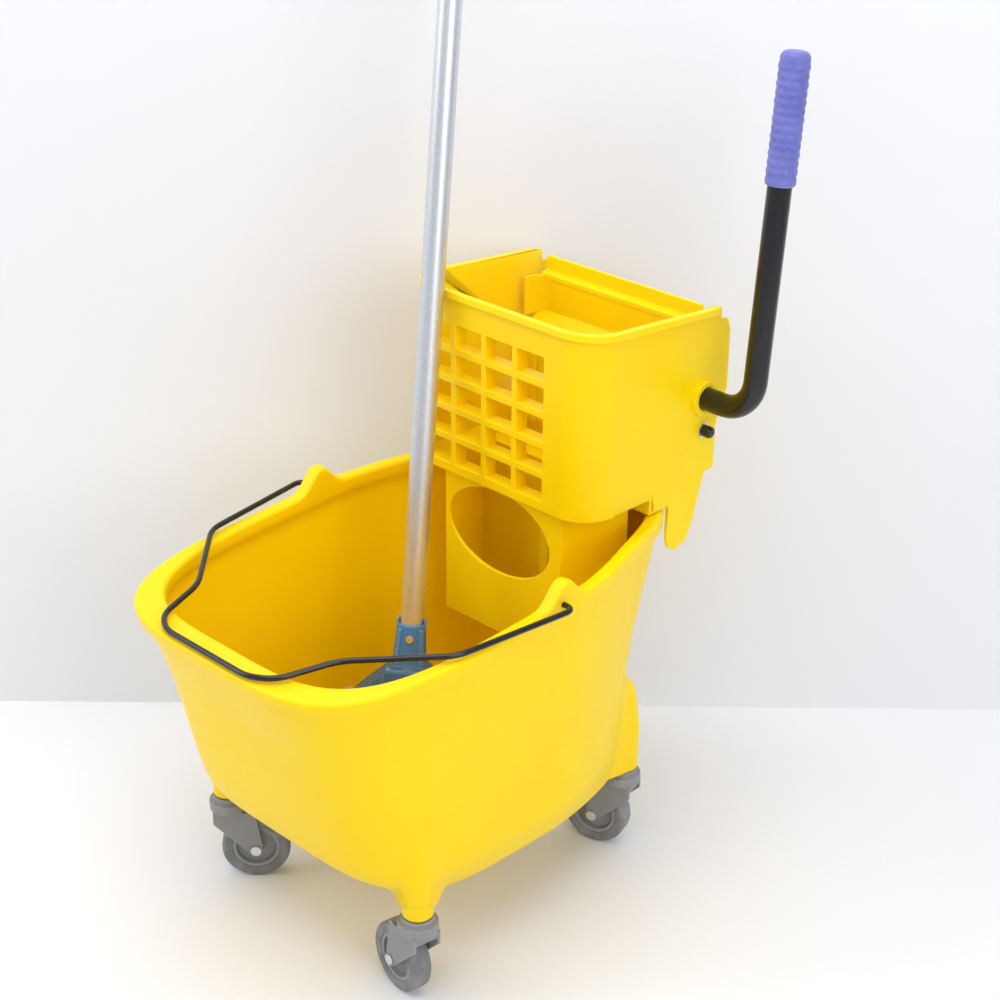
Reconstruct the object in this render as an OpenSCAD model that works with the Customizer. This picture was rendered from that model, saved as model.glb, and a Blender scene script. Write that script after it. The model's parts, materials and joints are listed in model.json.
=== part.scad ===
// Mop bucket on four casters, with a side-press wringer and a clamp mop standing in it.
// Z = 0 is the floor, the bucket's front lip faces -Y, and the wringer's lever is on the +X side.

/* [Bucket] */
// Half width of the bucket wall under its lip
side_half_w = 184; // [180:1:186]
// Half width that the wall tends to at the rear end
rear_half_w = 148; // [146:0.5:149]
// How far the front wall reaches forward of the origin
front_reach = 316; // [310:1:320]
// How far the rear wall reaches behind the origin
rear_reach = 212; // [210:1:212]
// Height of the lip at the front
front_rim_z = 388; // [384:1:390]
// Height of the lip at the rear, where the wringer sits
rear_rim_z = 415; // [412:1:415]
// Height of the bucket's underside
bottom_z = 105; // [104:1:106]
// Wall thickness of the bucket
wall = 4; // [3.5:0.5:5]

/* [Casters] */
// Wheel diameter
wheel_d = 75; // [74:0.5:76]
// Width of the tyre
wheel_w = 22; // [20:1:22]
// Distance from the swivel axis to the wheel's axle
trail = 28; // [26:1:29]
// Half track of the front casters
front_track = 151; // [148:1:152]
// Half track of the rear casters
rear_track = 114; // [112:1:115]

/* [Wringer] */
// Half width of the wringer's chamber, outside
box_half_w = 131; // [131:0.5:132]
// Front face of the wringer's chamber
box_front_y = 66; // [66:0.5:67]
// Height of the chamber's rim at the front
box_top_z = 640; // [636:1:642]
// Wall thickness of the wringer
box_wall = 4; // [3.5:0.5:4.5]
// Columns of windows in the front grid
grid_cols = 4; // [3:1:4]
// Rows of windows in the front grid
grid_rows = 5; // [4:1:5]

/* [Lever] */
// Diameter of the lever tube
tube_d = 25; // [25:0.1:25.1]
// Height of the lever's grip end above the cross shaft
lever_h = 372; // [350:1:390]
// Lean of the lever behind vertical, in degrees
lever_lean = 5; // [3:0.5:8]

/* [Mop] */
// Diameter of the mop pole
pole_d = 25; // [23:0.5:25]
// Length of the mop pole
pole_len = 1180; // [1000:10:1300]

/* [Hidden] */

plastic = [1.0, 0.83, 0.0];
caster_grey = [0.55, 0.55, 0.56];
zinc = [0.78, 0.78, 0.8];
gloss_black = [0.05, 0.05, 0.05];

eps = 0.01;
ring_n = 48;
tube_r = tube_d / 2;

// Bucket stations: [height, front wall, side half width, rear half width, rear wall]
stations = [
    [bottom_z, -179, 149, 126, 174],
    [125, -212, 160, 128, 173],
    [150, -240, 169, 131, 173],
    [180, -252, 171, 134, 174],
    [240, -268, 174, 137, 180],
    [300, -284, 179, 143, 194],
    [368, -front_reach + 6, side_half_w - 1, rear_half_w, rear_reach - 1],
    [front_rim_z, -front_reach, side_half_w, rear_half_w, rear_reach]];
lip_h = 18;
lip_out = 6;
lip_in = 10;
front_lip_in = 26;
ear_y = -28;
ear_z = 408;
ear_t = 14;
ear_head_r = 18;
wire_r = 3;
running = 0.05;

leg_z = 104;
front_leg_y = -189;
rear_leg_y = 157;
leg_r = 16;
leg_boss_h = 50;
foot_inset = 7;
stem_r = 5.5;
// Casters: [name, x, y, direction in which the wheel trails]
casters = [
    ["fl", -front_track, front_leg_y, 48],
    ["fr", front_track, front_leg_y, 171],
    ["rl", -rear_track, rear_leg_y, 70],
    ["rr", rear_track, rear_leg_y, 197]];
axle_r = 4;
fork_gap = 0.6;
fork_plate_t = 3.4;
fork_half_w = 16;
drum_r = 21;
hub_r = 26;

box_back_y = 268;
box_corner_r = 40;
floor_z = 434;
shelf_z = 416;
shelf_y = 166;
rim_slope = 4.6;
panel_y = 78;
panel_half_w = 86;
funnel_back_y = 158;
funnel_back_w = 108;
grid_x = -104;
grid_z = 438;
grid_depth = 16;
window_w = 38;
window_h = 25.5;
funnel_z = 258;
shaft_y = 242;
shaft_z = 529;
bolt_y = 247;
bolt_z = 490;
bolt_r = 4;

gear_module = 4;
gear_teeth = 18;
pitch_r = gear_module * gear_teeth / 2;
tooth_pitch = PI * gear_module;
pressure = 20;
gear_x = 60;
gear_w = 14;
rack_w = 12;
rack_drop = 0.3;
rack_teeth = 6;
rack_tip = 3.8;
rack_root = 5;
rack_thin = 0.15;
rack_end_y = 320;
plate_y = 222;
plate_t = 4;
plate_half_w = 112;
plate_top_half_w = 117;
plate_step_z = 556;
plate_foot_z = 439;
plate_rib_w = 6;
plate_rib_h = 100;
lip_hole_r = 4;
shaft_end = 140;
tube_wall = 2;
lever_x = 197;
bend_r = 36;
pin_r = 2.5;
grip_r = 15;
grip_len = 130;
screw_r = 3;

mop_at = [-29, -36, 202];
mop_lean = [-10.9, -5.9, 0];
clamp_turn = 42;
clamp_len = 130;

function mix(a, b, t) = a * (1 - t) + b * t;
function smooth(a, b, v) = let (u = max(0, min(1, (v - a) / (b - a)))) u * u * (3 - 2 * u);
function station(z, k) = lookup(z, [for (s = stations) [s[0], s[k]]]);
function rim_z(y) = min(rear_rim_z, mix(front_rim_z, rear_rim_z, (y + front_reach) / (front_reach + 100)));
function signed_pow(v, e) = sign(v) * pow(abs(v), e);

// One closed outline of the bucket at a nominal height, drawn in by the given insets
function bucket_ring(z, inset, front_inset) = [
    for (i = [0 : ring_n - 1])
        let (a = 360 * i / ring_n,
             height_share = (z - bottom_z) / (front_rim_z - bottom_z),
             e = cos(a) < 0 ? mix(0.4, 0.5, height_share) : 0.4,
             y_front = station(z, 1) + front_inset,
             y_rear = station(z, 4) - inset,
             y = (y_front + y_rear) / 2 + (y_rear - y_front) / 2 * signed_pow(cos(a), e),
             half_w = mix(station(z, 2), station(z, 3), smooth(-10, 190, y)) - inset,
             lift = (rim_z(y) - bottom_z) / (front_rim_z - bottom_z))
        [half_w * signed_pow(sin(a), e), y, bottom_z + (z - bottom_z) * lift]];

// Closed solid through a list of rings, closed at its ends by fans about two points
module skin(rings, first, last) {
    n = len(rings[0]);
    count = len(rings);
    points = concat([for (r = rings) for (p = r) p], [first, last]);
    sides = [for (k = [0 : count - 2]) for (i = [0 : n - 1])
        let (j = (i + 1) % n, a = k * n, b = a + n)
        each [[a + i, b + j, b + i], [a + i, a + j, b + j]]];
    start = [for (i = [0 : n - 1]) [(i + 1) % n, i, count * n]];
    end = [for (i = [0 : n - 1]) [(count - 1) * n + i, (count - 1) * n + (i + 1) % n, count * n + 1]];
    polyhedron(points, concat(sides, start, end));
}

// Bucket shape through rings that rise from the bottom to the rim
module loft(rings) {
    top = rings[len(rings) - 1];
    bottom_point = [0, -50, min([for (p = rings[0]) p[2]])];
    top_point = [0, -50, mix(top[0][2], top[ring_n / 2][2], 0.47)];
    skin(rings, bottom_point, top_point);
}

module bucket_outside() {
    under_lip = front_rim_z - lip_h;
    loft([
        bucket_ring(bottom_z, foot_inset, foot_inset),
        bucket_ring(bottom_z + foot_inset, 0, 0),
        for (z = [125, 150, 180, 240, 300, under_lip]) bucket_ring(z, 0, 0),
        bucket_ring(under_lip + 1, -lip_out, -lip_out),
        bucket_ring(front_rim_z, -lip_out, -lip_out)]);
}

module bucket_inside() {
    loft([
        bucket_ring(bottom_z + wall, foot_inset + wall, foot_inset + wall),
        bucket_ring(bottom_z + wall + foot_inset, wall, wall),
        for (z = [125, 150, 180, 240, 300, front_rim_z - lip_h - 8]) bucket_ring(z, wall, wall),
        bucket_ring(front_rim_z - lip_h + 4, lip_in, front_lip_in),
        bucket_ring(front_rim_z + 40, lip_in, front_lip_in)]);
}

// The part of a leg that blends into the wall above its boss
module leg_blend(is_front) translate([0, 0, leg_z]) {
    cylinder(r = leg_r, h = is_front ? 100 : leg_boss_h + 6, $fn = 48);
    if (!is_front) translate([0, 0, leg_boss_h + 6]) cylinder(r1 = leg_r, r2 = 2, h = 70, $fn = 48);
}

// Bell-shaped ear that holds one end of the bail
module ear(x) {
    translate([x, ear_y + 6, 0]) rotate([90, 0, 90]) linear_extrude(ear_t) {
        translate([0, ear_z + 6]) circle(r = ear_head_r, $fn = 48);
        polygon([[-44, 384], [-38, 402], [-27, 405], [-ear_head_r, ear_z + 6], [ear_head_r, ear_z + 6], [27, 408],
            [38, 407], [44, 384]]);
    }
}

module at_legs() for (c = casters) translate([c[1], c[2], 0]) rotate(c[1] < 0 ? 0 : 180) children();

module bucket_shell() color(plastic) difference() {
    union() {
        difference() {
            union() {
                bucket_outside();
                for (c = casters) translate([c[1], c[2], 0]) leg_blend(c[2] < 0);
                at_legs() translate([leg_r - 4, -4, leg_z + 2]) cube([34, 8, 30]);
                ear(side_half_w + lip_out - ear_t);
                ear(-side_half_w - lip_out);
            }
            bucket_inside();
        }
        at_legs() translate([0, 0, leg_z]) cylinder(r = leg_r, h = leg_boss_h, $fn = 48);
    }
    at_legs() translate([0, 0, leg_z - 1]) cylinder(r = stem_r + running, h = 47, $fn = 32);
    translate([-200, ear_y, ear_z]) rotate([0, 90, 0]) cylinder(r = wire_r + running, h = 400, $fn = 32);
}

// Half of the bail from the middle of the hand-hold to the ear
bail_half = [
    [62, -317, 393], [86, -302, 394], [106, -244, 398], [184, -166, 404],
    [205, ear_y - 6, ear_z], [202, ear_y, ear_z], [196, ear_y, ear_z]];
bail_path = concat(
    [for (i = [len(bail_half) - 1 : -1 : 0]) [-bail_half[i][0], bail_half[i][1], bail_half[i][2]]],
    bail_half);

function unit(v) = v / norm(v);

// Mitred ring of a round wire at one point of a nearly level path
function wire_ring(path, i, r, n) =
    let (before = unit(path[max(i, 1)] - path[max(i, 1) - 1]),
         after = i == len(path) - 1 ? before : unit(path[i + 1] - path[i]),
         along = unit(before + after),
         side = unit(cross(along, [0, 0, 1])),
         up = cross(side, along),
         stretch = 1 / (before * along))
    [for (k = [0 : n - 1]) path[i] + r * (cos(360 * k / n) * stretch * side + sin(360 * k / n) * up)];

module bail_wire() color(gloss_black) {
    last = len(bail_path) - 1;
    skin([for (i = [0 : last]) wire_ring(bail_path, i, wire_r - 0.1, 16)], bail_path[0], bail_path[last]);
    for (side = [-1, 1]) translate([side * 185.5, ear_y, ear_z]) rotate([0, 90, 0])
        cylinder(r = wire_r, h = 31, center = true, $fn = 32);
}

module at_caster(c) translate([c[1], c[2], 0]) rotate(c[3]) children();

module caster_fork(c) color(caster_grey) at_caster(c) difference() {
    top = leg_z - fork_gap;
    union() {
        translate([0, 0, 86]) cylinder(r = drum_r, h = top - 92, $fn = 64);
        translate([0, 0, top - 6]) cylinder(r = 17, h = 6, $fn = 64);
        translate([-17, -fork_half_w, 79]) cube([46, 2 * fork_half_w, 8]);
        for (side = [fork_plate_t - fork_half_w, fork_half_w])
            translate([0, side, 0]) rotate([90, 0, 0]) linear_extrude(fork_plate_t) {
                translate([trail, wheel_d / 2]) circle(r = 8, $fn = 48);
                polygon([[-17, 87], [29, 87], [trail + 8, wheel_d / 2 + 2], [trail - 6, wheel_d / 2 - 5.3], [-17, 72]]);
            }
    }
    translate([0, 0, 90]) cylinder(r = stem_r, h = 30, $fn = 32);
    translate([trail, 20, wheel_d / 2]) rotate([90, 0, 0]) cylinder(r = axle_r, h = 40, $fn = 32);
}

module caster_stem(c) color(zinc) at_caster(c) {
    translate([0, 0, 90]) cylinder(r = stem_r, h = 56, $fn = 32);
    translate([0, 0, 146]) cylinder(r1 = stem_r, r2 = stem_r - 1.5, h = 2, $fn = 32);
}

module caster_axle(c) color(zinc) at_caster(c) translate([trail, 0, wheel_d / 2]) rotate([90, 0, 0]) {
    cylinder(r = axle_r, h = 32, center = true, $fn = 32);
    for (side = [-1, 1]) translate([0, 0, side * 17.25]) cylinder(r = 6, h = 2.5, center = true, $fn = 32);
}

module caster_hub(c) color(caster_grey) at_caster(c) translate([trail, 0, wheel_d / 2]) rotate([90, 0, 0])
    rotate_extrude($fn = 64) polygon([
        [axle_r + running, -11.8], [8, -11.8], [9, -4], [21, -4], [22, -9.5], [hub_r, -9.5],
        [hub_r, 9.5], [22, 9.5], [21, 4], [9, 4], [8, 11.8], [axle_r + running, 11.8]]);

module caster_tyre(c) color(caster_grey) at_caster(c) translate([trail, 0, wheel_d / 2]) rotate([90, 0, 0])
    rotate_extrude($fn = 96) polygon([
        [hub_r, -9.5], [30, -wheel_w / 2], [33.5, -wheel_w / 2], [36.6, -8], [wheel_d / 2, -3.5],
        [wheel_d / 2, 3.5], [36.6, 8], [33.5, wheel_w / 2], [30, wheel_w / 2], [hub_r, 9.5]]);

// Plan of the chamber: a U with round front corners, open at the rear
module u_plan(half_w, front_y, back_y, r) {
    for (side = [-1, 1]) translate([side * (half_w - r), front_y + r]) circle(r = r, $fn = 64);
    translate([-half_w + r, front_y]) square([2 * (half_w - r), r]);
    translate([-half_w, front_y + r]) square([2 * half_w, back_y - front_y - r]);
}

module u_wall(half_w, front_y, back_y, r, t) difference() {
    u_plan(half_w, front_y, back_y, r);
    u_plan(half_w - t, front_y + t, back_y + 1, r - t);
}

// Outline of one side of the wringer, in Y and Z, with its hooked skirt
side_outline = [
    [110, 445], [168, 445], [172, 418], [195, 418], [195, 378], [199, 367], [208, 361], [226, 366], [236, 382],
    [242, 405], [273, 505], [284, 528], [284, 594], [279, 608], [262, 612], [110, 612]];

module funnel_plan(inset) polygon([
    [-panel_half_w + inset, panel_y + inset], [panel_half_w - inset, panel_y + inset],
    [funnel_back_w - inset, funnel_back_y - inset], [-funnel_back_w + inset, funnel_back_y - inset]]);

module side_plates() for (x = [-box_half_w, box_half_w - box_wall])
    translate([x, 0, 0]) rotate([90, 0, 90]) linear_extrude(box_wall) polygon(side_outline);

module wringer_windows() {
    pitch_x = 44.5;
    pitch_z = 33.3;
    for (i = [0 : grid_cols - 1]) for (j = [0 : grid_rows - 1])
        translate([grid_x + 1 + i * pitch_x, box_front_y - 5, grid_z + 7 + j * pitch_z])
            cube([window_w, grid_depth + 8, window_h]);
}

module wringer_body() color(plastic) difference() {
    union() {
        // chamber walls, cut to the sloping rim
        difference() {
            translate([0, 0, floor_z]) linear_extrude(220)
                u_wall(box_half_w, box_front_y, box_back_y, box_corner_r, box_wall);
            translate([-200, box_front_y, box_top_z - 1]) rotate([-rim_slope, 0, 0]) translate([0, -60, 0])
                cube([400, 400, 100]);
            translate([-200, 110, 400]) cube([400, 200, 40]);
        }
        side_plates();
        // bead along the rim
        translate([0, box_front_y, box_top_z - 8]) rotate([-rim_slope, 0, 0]) linear_extrude(8)
            translate([0, -box_front_y]) u_wall(box_half_w + 4, box_front_y - 4, box_back_y - 8, box_corner_r + 4, 8);
        // deep ribs of the front grid
        translate([grid_x, box_front_y + 1, grid_z]) cube([180, grid_depth, 170]);
        // floor of the chamber and the raised rear shelf
        translate([0, 0, floor_z]) linear_extrude(4) difference() {
            u_plan(box_half_w - 1, box_front_y + 1, shelf_y + 4, box_corner_r - 1);
            funnel_plan(4);
        }
        translate([-box_half_w + 1, shelf_y, shelf_z]) cube([2 * box_half_w - 2, 4, floor_z - shelf_z + 4]);
        translate([-box_half_w + 1, shelf_y, shelf_z]) cube([2 * box_half_w - 2, 70, 4]);
        // funnel that reaches down into the bucket
        translate([0, 0, funnel_z]) linear_extrude(floor_z - funnel_z + 1) difference() {
            funnel_plan(0);
            funnel_plan(box_wall);
        }
        translate([0, 0, funnel_z]) linear_extrude(4) funnel_plan(0);
        translate([-6, funnel_back_y - 14, funnel_z + 20]) cube([12, 12, 130]);
        // bearing collars
        for (side = [-1, 1]) translate([side * (box_half_w + 3), shaft_y, shaft_z]) rotate([0, 90, 0])
            cylinder(r = 19, h = 8, center = true, $fn = 64);
    }
    wringer_windows();
    // oval drain opening of the lower panel
    translate([-5, panel_y + 10, 379]) rotate([90, 0, 0]) linear_extrude(14)
        polygon([for (a = [0 : 10 : 350]) [75 * cos(a), 48 * sin(a)]]);
    // drain slots in the funnel's floor
    for (x = [-60 : 24 : 60]) translate([x - 5, panel_y + 16, funnel_z - 1]) cube([10, 46, 6]);
    translate([-160, shaft_y, shaft_z]) rotate([0, 90, 0]) cylinder(r = tube_r + running, h = 320, $fn = 64);
    for (side = [-1, 1]) translate([side * box_half_w, bolt_y, bolt_z]) rotate([0, 90, 0])
        cylinder(r = bolt_r, h = 20, center = true, $fn = 32);
}

// Section of the press plate, in Y and Z
plate_outline = [
    [plate_y, plate_foot_z], [plate_y, 544], [250, 562], [250, 604], [258, 606], [258, 622], [262, 622],
    [262, 603], [254, 600], [254, 560], [plate_y + plate_t, 542], [plate_y + plate_t, plate_foot_z]];

module press_plate() color(plastic) difference() {
    union() {
        translate([-plate_half_w, 0, 0]) rotate([90, 0, 90])
            linear_extrude(2 * plate_half_w) polygon(plate_outline);
        translate([-plate_top_half_w, 0, 0]) rotate([90, 0, 90]) linear_extrude(2 * plate_top_half_w) intersection() {
            polygon(plate_outline);
            translate([200, plate_step_z]) square([100, 100]);
        }
        for (x = [-plate_top_half_w, plate_top_half_w - 3]) translate([x, 228, 562]) cube([3, 26, 56]);
        for (x = [-90 : 30 : 90]) translate([x - plate_rib_w / 2, plate_y - 5, plate_foot_z + 2])
            cube([plate_rib_w, 6, plate_rib_h]);
    }
    translate([5, 250, 614]) rotate([-90, 0, 0]) cylinder(r = lip_hole_r, h = 20, $fn = 32);
}

module rack(x) color(plastic) {
    pitch_z = shaft_z - pitch_r - rack_drop;
    back_y = plate_y + plate_t;
    root_z = pitch_z - rack_root;
    half = tooth_pitch / 4 - rack_thin;
    foot = half + rack_root * tan(pressure);
    top = half - rack_tip * tan(pressure);
    teeth = [for (k = [0 : rack_teeth - 1]) let (y = shaft_y + (k - 0.5) * tooth_pitch)
        each [[y - foot, root_z], [y - top, pitch_z + rack_tip], [y + top, pitch_z + rack_tip], [y + foot, root_z]]];
    translate([x - rack_w / 2, 0, 0]) rotate([90, 0, 90]) linear_extrude(rack_w) polygon(concat(
        [[back_y, root_z - 14], [back_y, root_z]], teeth, [[rack_end_y, root_z], [rack_end_y, root_z - 14]]));
}

module rack_left() rack(-gear_x);
module rack_right() rack(gear_x);

module at_lever() translate([0, shaft_y, shaft_z]) rotate([-lever_lean, 0, 0]) children();

module lever_tube() color(gloss_black) at_lever() {
    straight_x = lever_x - bend_r;
    bore_r = tube_r - tube_wall;
    difference() {
        translate([-shaft_end, 0, 0]) rotate([0, 90, 0]) cylinder(r = tube_r, h = shaft_end + straight_x, $fn = 64);
        translate([-shaft_end - 1, 0, 0]) rotate([0, 90, 0])
            cylinder(r = bore_r, h = shaft_end + straight_x + 2, $fn = 64);
        for (x = [-gear_x, gear_x]) translate([x, 0, 0]) rotate([lever_lean, 0, 0])
            cylinder(r = pin_r, h = 60, center = true, $fn = 32);
    }
    translate([straight_x, 0, bend_r]) rotate([90, 0, 0]) rotate([0, 0, -90])
        rotate_extrude(angle = 90, $fn = 96) translate([bend_r, 0]) difference() {
            circle(r = tube_r, $fn = 48);
            circle(r = bore_r, $fn = 48);
        }
    translate([lever_x, 0, bend_r]) difference() {
        cylinder(r = tube_r, h = lever_h - bend_r - 6, $fn = 64);
        translate([0, 0, -1]) cylinder(r = bore_r, h = lever_h, $fn = 64);
    }
}

module at_grip() at_lever() translate([lever_x, 0, lever_h - grip_len - 2]) children();

module lever_grip() color([0.42, 0.44, 0.75]) at_grip() difference() {
    union() {
        cylinder(r = grip_r, h = grip_len, $fn = 48);
        for (z = [4 : 6 : grip_len - 6]) translate([0, 0, z]) cylinder(r = grip_r + 0.8, h = 3, $fn = 48);
        translate([0, 0, grip_len]) cylinder(r1 = grip_r, r2 = grip_r - 2, h = 2, $fn = 48);
    }
    translate([0, 0, -1]) cylinder(r = tube_r, h = grip_len - 3, $fn = 64);
}

module shaft_end_cap() color(gloss_black) at_lever() translate([-shaft_end - 4, 0, 0]) rotate([0, 90, 0]) {
    cylinder(r = 14, h = 4, $fn = 48);
    translate([0, 0, 4]) cylinder(r = tube_r - tube_wall, h = 12, $fn = 48);
}

// Involute flank of the gear, from the base circle outwards
function involute(base_r, r) = let (a = acos(base_r / r)) tan(a) * 180 / PI - a;

// Teeth that pass the rack while the lever swings, and the web behind them
module gear_profile() {
    base_r = pitch_r * cos(pressure);
    tip_r = pitch_r + 3.6;
    root_r = pitch_r - 5;
    half_a = 90 / gear_teeth - 0.35 + involute(base_r, pitch_r);
    radii = [base_r, base_r + 1, pitch_r, pitch_r + 1.8, tip_r];
    flank = [for (r = radii) [r, half_a - involute(base_r, r)]];
    step = 360 / gear_teeth;
    circle(r = 15.5, $fn = 64);
    intersection() {
        circle(r = root_r + eps, $fn = 96);
        polygon([[0, 0], for (a = [-104 : 12 : 22]) 60 * [cos(a), sin(a)]]);
    }
    for (k = [0 : 5]) rotate(-90 + k * step) polygon(concat(
        [[root_r - 1, 0] + [0, -4.2], [root_r, -3.4]],
        [for (f = flank) [f[0] * cos(f[1]), -f[0] * sin(f[1])]],
        [for (i = [len(flank) - 1 : -1 : 0]) [flank[i][0] * cos(flank[i][1]), flank[i][0] * sin(flank[i][1])]],
        [[root_r, 3.4], [root_r - 1, 4.2]]));
}

module gear(x) color(caster_grey) translate([x - gear_w / 2, shaft_y, shaft_z]) difference() {
    rotate([90, 0, 90]) linear_extrude(gear_w) gear_profile();
    translate([-1, 0, 0]) rotate([0, 90, 0]) cylinder(r = tube_r, h = gear_w + 2, $fn = 64);
    translate([gear_w / 2, 0, 0]) cylinder(r = pin_r, h = 60, center = true, $fn = 32);
}

module gear_left() gear(-gear_x);
module gear_right() gear(gear_x);

module gear_pins() color(zinc) for (x = [-gear_x, gear_x])
    translate([x, shaft_y, shaft_z]) cylinder(r = pin_r, h = 42, center = true, $fn = 32);

module bearing_block(side) color(plastic)
    translate([side * (box_half_w - box_wall - 6), 0, 0]) difference() {
        rotate([90, 0, 90]) translate([0, 0, -6]) linear_extrude(12) {
            translate([shaft_y, shaft_z]) circle(r = 21, $fn = 64);
            translate([bolt_y, bolt_z]) circle(r = 11, $fn = 48);
            polygon([
                [shaft_y - 12, shaft_z - 17], [bolt_y - 11, bolt_z], [bolt_y + 11, bolt_z],
                [shaft_y + 18, shaft_z - 10]]);
        }
        translate([0, shaft_y, shaft_z]) rotate([0, 90, 0])
            cylinder(r = tube_r + running, h = 20, center = true, $fn = 64);
        translate([0, bolt_y, bolt_z]) rotate([0, 90, 0]) cylinder(r = bolt_r, h = 20, center = true, $fn = 32);
    }

module bearing_block_left() bearing_block(-1);
module bearing_block_right() bearing_block(1);

module at_bolts() for (side = [0, 1]) mirror([1 - side, 0, 0]) translate([0, bolt_y, bolt_z]) rotate([0, 90, 0])
    children();

module block_bolts() color(zinc) at_bolts() {
    translate([0, 0, box_half_w - box_wall - 16]) cylinder(r = 6.5, h = 4, $fn = 6);
    translate([0, 0, box_half_w - box_wall - 12]) cylinder(r = bolt_r, h = 24, $fn = 32);
}

module block_washers() color(zinc) at_bolts() translate([0, 0, box_half_w]) difference() {
    cylinder(r = 8.5, h = 1.5, $fn = 48);
    translate([0, 0, -1]) cylinder(r = bolt_r, h = 4, $fn = 32);
}

module block_cap_nuts() color(gloss_black) at_bolts() translate([0, 0, box_half_w + 1.5]) difference() {
    union() {
        cylinder(r = 6.5, h = 9, $fn = 48);
        translate([0, 0, 9]) cylinder(r1 = 6.5, r2 = 4.5, h = 2, $fn = 48);
    }
    translate([0, 0, -1]) cylinder(r = bolt_r, h = 7.5, $fn = 32);
}

module at_mop() translate(mop_at) rotate(mop_lean) rotate([0, 0, clamp_turn]) children();

module mop_pole() color([0.8, 0.82, 0.84]) at_mop() translate([0, 0, 48]) difference() {
    cylinder(r = pole_d / 2, h = pole_len, $fn = 64);
    translate([0, 0, -1]) cylinder(r = pole_d / 2 - 1.2, h = pole_len + 2, $fn = 64);
}

cap_z = 48 + pole_len;

module mop_pole_cap() color([0.25, 0.45, 0.72]) at_mop() difference() {
    union() {
        translate([0, 0, cap_z - 30]) difference() {
            cylinder(r = pole_d / 2 + 2.5, h = 34, $fn = 48);
            translate([0, 0, -1]) cylinder(r = pole_d / 2, h = 31, $fn = 64);
        }
        translate([0, 5, cap_z + 18]) rotate([90, 0, 0]) cylinder(r = 14, h = 10, $fn = 64);
        translate([-14, -5, cap_z + 2]) cube([28, 10, 16]);
    }
    translate([0, 10, cap_z + 18]) rotate([90, 0, 0]) cylinder(r = 6, h = 20, $fn = 48);
}

module mop_socket() color([0.29, 0.51, 0.71]) at_mop() difference() {
    union() {
        translate([0, 0, 44]) cylinder(r1 = 19, r2 = 15.5, h = 50, $fn = 48);
        translate([-24, -19, 30]) cube([48, 38, 16]);
    }
    translate([0, 0, 48]) cylinder(r = pole_d / 2, h = 60, $fn = 64);
    translate([0, 0, 80]) rotate([90, 0, 0]) cylinder(r = 2, h = 60, $fn = 24);
}

module socket_screw() color(zinc) at_mop() translate([0, 0, 80]) rotate([90, 0, 0]) {
    translate([0, 0, 16.5]) cylinder(r = 4.2, h = 2.5, $fn = 32);
    translate([0, 0, pole_d / 2]) cylinder(r = 2, h = 5, $fn = 24);
}

// One sloping jaw of the clamp, on the given side
module jaw(side) rotate([0, 0, side > 0 ? 0 : 180]) difference() {
    translate([-clamp_len / 2, 1, 0]) rotate([90, 0, 90]) linear_extrude(clamp_len)
        polygon([[0, 30], [18, 30], [30, 0], [30, -14], [26, -14], [26, -1], [15.5, 25], [0, 25]]);
    for (x = [-1, 1]) translate([x * (clamp_len / 2 + 22), 0, 40]) rotate([0, x * 38, 0])
        cube([60, 80, 80], center = true);
    translate([0, 0, 12]) rotate([-90, 0, 0]) cylinder(r = screw_r + running, h = 60, $fn = 32);
}

module mop_clamp_front() color([0.24, 0.37, 0.46]) at_mop() jaw(-1);
module mop_clamp_rear() color([0.24, 0.37, 0.46]) at_mop() jaw(1);

module clamp_pin() color(zinc) at_mop() translate([-40, 0, 22]) rotate([0, 90, 0])
    cylinder(r = pin_r, h = 80, $fn = 32);

module clamp_screw() color(zinc) at_mop() translate([0, 44, 12]) rotate([90, 0, 0]) {
    cylinder(r = screw_r, h = 84, $fn = 32);
    translate([0, 0, -3]) cylinder(r = 5, h = 3, $fn = 6);
}

module clamp_wing_nut() color(zinc) at_mop() translate([0, -30, 12]) rotate([90, 0, 0]) difference() {
    union() {
        cylinder(r = 6, h = 7, $fn = 32);
        translate([-15, -1.5, 0]) cube([30, 3, 9]);
    }
    translate([0, 0, -1]) cylinder(r = screw_r, h = 12, $fn = 32);
}

module mop_headband() color([0.85, 0.72, 0.55]) at_mop() translate([-clamp_len / 2 + 6, -20, -9])
    cube([clamp_len - 12, 40, 15]);

module mop_yarn() color([0.87, 0.73, 0.58]) translate([-28, -48, 0]) rotate_extrude($fn = 64) polygon([
    [0, 110], [84, 110], [102, 125], [108, 155], [100, 186], [72, 204], [0, 206]]);

bucket_shell();
bail_wire();
for (c = casters) {
    caster_fork(c);
    caster_stem(c);
    caster_axle(c);
    caster_hub(c);
    caster_tyre(c);
}
wringer_body();
press_plate();
rack_left();
rack_right();
lever_tube();
lever_grip();
shaft_end_cap();
gear_left();
gear_right();
gear_pins();
bearing_block_left();
bearing_block_right();
block_bolts();
block_washers();
block_cap_nuts();
mop_pole();
mop_pole_cap();
mop_socket();
socket_screw();
mop_clamp_front();
mop_clamp_rear();
clamp_pin();
clamp_screw();
clamp_wing_nut();
mop_headband();
mop_yarn();
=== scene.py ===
"""Looks of the mop bucket with its side-press wringer and clamp mop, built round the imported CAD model."""
import json
import math
import random

import bmesh
import bpy
from mathutils import Matrix, Vector


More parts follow.
